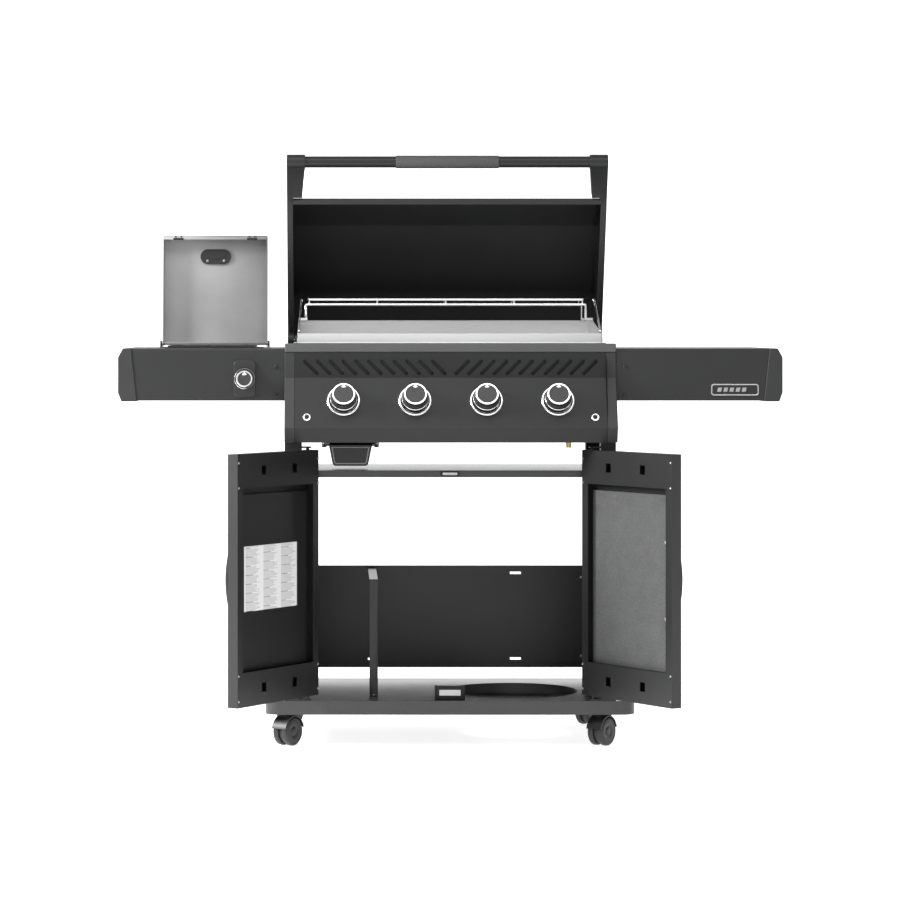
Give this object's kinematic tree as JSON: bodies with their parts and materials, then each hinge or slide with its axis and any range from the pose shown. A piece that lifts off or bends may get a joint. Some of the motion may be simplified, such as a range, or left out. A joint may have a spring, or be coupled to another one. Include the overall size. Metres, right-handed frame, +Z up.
{
  "type": "gas barbecue grill",
  "caption": "Gas barbecue grill on a cabinet cart with hinged lid, side burner, side shelves, hinged doors, push-and-turn knobs and swivel casters.",
  "frame": {"origin": "on the floor, under the middle of the part as it stands open", "axes": "+Z up, -Y towards the person at the controls, +X to that person's right"},
  "size_m": [1.625, 0.9237, 1.4592],
  "materials": {
    "charcoal_paint": "fine-textured charcoal powder coat on folded steel sheet",
    "cast_paint": "charcoal powder coat on cast aluminium ends",
    "lid_paint": "dark high-temperature paint, satin outside and matt inside",
    "black_paint": "plain black paint on steel strap and panel",
    "enamel": "black porcelain enamel on the firebox, grate and burner bowl",
    "stainless": "brushed stainless sheet",
    "burner_steel": "plain stainless tube and folded tents",
    "plated": "bright chrome plate",
    "galvanised": "dull zinc-plated steel",
    "brass_fit": "machined brass valves on a steel pipe",
    "black_plastic": "matt black moulded plastic",
    "knob_plastic": "dark grey knob with a bright ring",
    "grip_rubber": "mid-grey soft sleeve",
    "wheel_plastic": "hard black tread on a moulded wheel"
  },
  "bodies": {
    "root": {"base_shelf": "charcoal_paint", "side_panel_left": "charcoal_paint", "side_panel_right": "charcoal_paint", "rear_panel": "black_paint", "heat_shield": "charcoal_paint", "tank_strap": "black_paint", "magnet_catches": "black_plastic", "firebox": "enamel", "front_rim": "charcoal_paint", "control_panel": "charcoal_paint", "end_cap_left": "cast_paint", "end_cap_right": "cast_paint", "knob_bezels": "plated", "gas_manifold": "brass_fit", "burners": "burner_steel", "heat_tents": "burner_steel", "griddle": "stainless", "warming_rack": "plated", "lid_pivots": "galvanised", "shelf_left": "charcoal_paint", "shelf_left_cap": "cast_paint", "shelf_right": "charcoal_paint", "shelf_right_cap": "cast_paint", "side_burner": "enamel", "side_grate": "enamel", "side_valve": "plated"},
    "lid": {"lid_skin": "lid_paint", "lid_end_left": "cast_paint", "lid_end_right": "cast_paint", "lid_handle": "charcoal_paint", "lid_grip": "grip_rubber", "lid_gauge": "plated"},
    "side_lid": {"side_lid": "galvanised", "side_lid_handle": "black_plastic"},
    "door_left": {"door_left": "charcoal_paint", "door_handle_left": "charcoal_paint"},
    "door_right": {"door_right": "charcoal_paint", "door_handle_right": "charcoal_paint"},
    "stem_1": {"stem_1": "galvanised"},
    "knob_1": {"knob_1": "knob_plastic"},
    "stem_2": {"stem_2": "galvanised"},
    "knob_2": {"knob_2": "knob_plastic"},
    "stem_3": {"stem_3": "galvanised"},
    "knob_3": {"knob_3": "knob_plastic"},
    "stem_4": {"stem_4": "galvanised"},
    "knob_4": {"knob_4": "knob_plastic"},
    "side_stem": {"side_stem": "galvanised"},
    "side_knob": {"side_knob": "knob_plastic"},
    "grease_box": {"grease_box": "black_paint"},
    "caster_front_left": {"caster_front_left": "black_plastic"},
    "wheel_front_left": {"wheel_front_left": "wheel_plastic"},
    "caster_front_right": {"caster_front_right": "black_plastic"},
    "wheel_front_right": {"wheel_front_right": "wheel_plastic"},
    "caster_rear_left": {"caster_rear_left": "black_plastic"},
    "wheel_rear_left": {"wheel_rear_left": "wheel_plastic"},
    "caster_rear_right": {"caster_rear_right": "black_plastic"},
    "wheel_rear_right": {"wheel_rear_right": "wheel_plastic"}
  },
  "joints": [
    {"name": "lid_hinge", "type": "hinge", "parent": "root", "child": "lid", "pos_m": [0, 0.257, 0.992], "axis": [1, 0, 0], "range_deg": [0, 64]},
    {"name": "side_lid_hinge", "type": "hinge", "parent": "root", "child": "side_lid", "pos_m": [-0.58775, 0.197, 0.982], "axis": [1, 0, 0], "range_deg": [0, 95]},
    {"name": "door_left_hinge", "type": "hinge", "parent": "root", "child": "door_left", "pos_m": [-0.349, -0.153, 0.127], "axis": [0, 0, 1], "range_deg": [0, 121.5]},
    {"name": "door_right_hinge", "type": "hinge", "parent": "root", "child": "door_right", "pos_m": [0.349, -0.153, 0.127], "axis": [0, 0, -1], "range_deg": [0, 121.5]},
    {"name": "knob_1_push", "type": "slide", "parent": "root", "child": "stem_1", "axis": [0, 0.8988, -0.4383], "range_m": [0, 0.003], "stiffness_N_per_m": 600},
    {"name": "knob_1_turn", "type": "hinge", "parent": "stem_1", "child": "knob_1", "pos_m": [-0.261, -0.19273, 0.84717], "axis": [0, -0.8988, 0.4383], "range_deg": [0, 200]},
    {"name": "knob_2_push", "type": "slide", "parent": "root", "child": "stem_2", "axis": [0, 0.8988, -0.4383], "range_m": [0, 0.003], "stiffness_N_per_m": 600},
    {"name": "knob_2_turn", "type": "hinge", "parent": "stem_2", "child": "knob_2", "pos_m": [-0.087, -0.19273, 0.84717], "axis": [0, -0.8988, 0.4383], "range_deg": [0, 200]},
    {"name": "knob_3_push", "type": "slide", "parent": "root", "child": "stem_3", "axis": [0, 0.8988, -0.4383], "range_m": [0, 0.003], "stiffness_N_per_m": 600},
    {"name": "knob_3_turn", "type": "hinge", "parent": "stem_3", "child": "knob_3", "pos_m": [0.087, -0.19273, 0.84717], "axis": [0, -0.8988, 0.4383], "range_deg": [0, 200]},
    {"name": "knob_4_push", "type": "slide", "parent": "root", "child": "stem_4", "axis": [0, 0.8988, -0.4383], "range_m": [0, 0.003], "stiffness_N_per_m": 600},
    {"name": "knob_4_turn", "type": "hinge", "parent": "stem_4", "child": "knob_4", "pos_m": [0.261, -0.19273, 0.84717], "axis": [0, -0.8988, 0.4383], "range_deg": [0, 200]},
    {"name": "side_knob_push", "type": "slide", "parent": "root", "child": "side_stem", "axis": [0, 1, 0], "range_m": [0, 0.003], "stiffness_N_per_m": 600},
    {"name": "side_knob_turn", "type": "hinge", "parent": "side_stem", "child": "side_knob", "pos_m": [-0.50275, -0.158, 0.9], "axis": [0, -1, 0], "range_deg": [0, 200]},
    {"name": "grease_box_slide", "type": "slide", "parent": "root", "child": "grease_box", "axis": [0, 1, 0], "range_m": [-0.15, 0]},
    {"name": "caster_front_left_swivel", "type": "hinge", "parent": "root", "child": "caster_front_left", "pos_m": [-0.385, -0.108, 0.078], "axis": [0, 0, 1], "continuous": true},
    {"name": "wheel_front_left_roll", "type": "hinge", "parent": "caster_front_left", "child": "wheel_front_left", "pos_m": [-0.39778, -0.12591, 0.035], "axis": [0.8141, -0.5807, 0], "continuous": true},
    {"name": "caster_front_right_swivel", "type": "hinge", "parent": "root", "child": "caster_front_right", "pos_m": [0.385, -0.108, 0.078], "axis": [0, 0, 1], "continuous": true},
    {"name": "wheel_front_right_roll", "type": "hinge", "parent": "caster_front_right", "child": "wheel_front_right", "pos_m": [0.37222, -0.12591, 0.035], "axis": [0.8141, -0.5807, 0], "continuous": true},
    {"name": "caster_rear_left_swivel", "type": "hinge", "parent": "root", "child": "caster_rear_left", "pos_m": [-0.385, 0.332, 0.078], "axis": [0, 0, 1], "continuous": true},
    {"name": "wheel_rear_left_roll", "type": "hinge", "parent": "caster_rear_left", "child": "wheel_rear_left", "pos_m": [-0.39778, 0.31409, 0.035], "axis": [0.8141, -0.5807, 0], "continuous": true},
    {"name": "caster_rear_right_swivel", "type": "hinge", "parent": "root", "child": "caster_rear_right", "pos_m": [0.385, 0.332, 0.078], "axis": [0, 0, 1], "continuous": true},
    {"name": "wheel_rear_right_roll", "type": "hinge", "parent": "caster_rear_right", "child": "wheel_rear_right", "pos_m": [0.37222, 0.31409, 0.035], "axis": [0.8141, -0.5807, 0], "continuous": true}
  ]
}
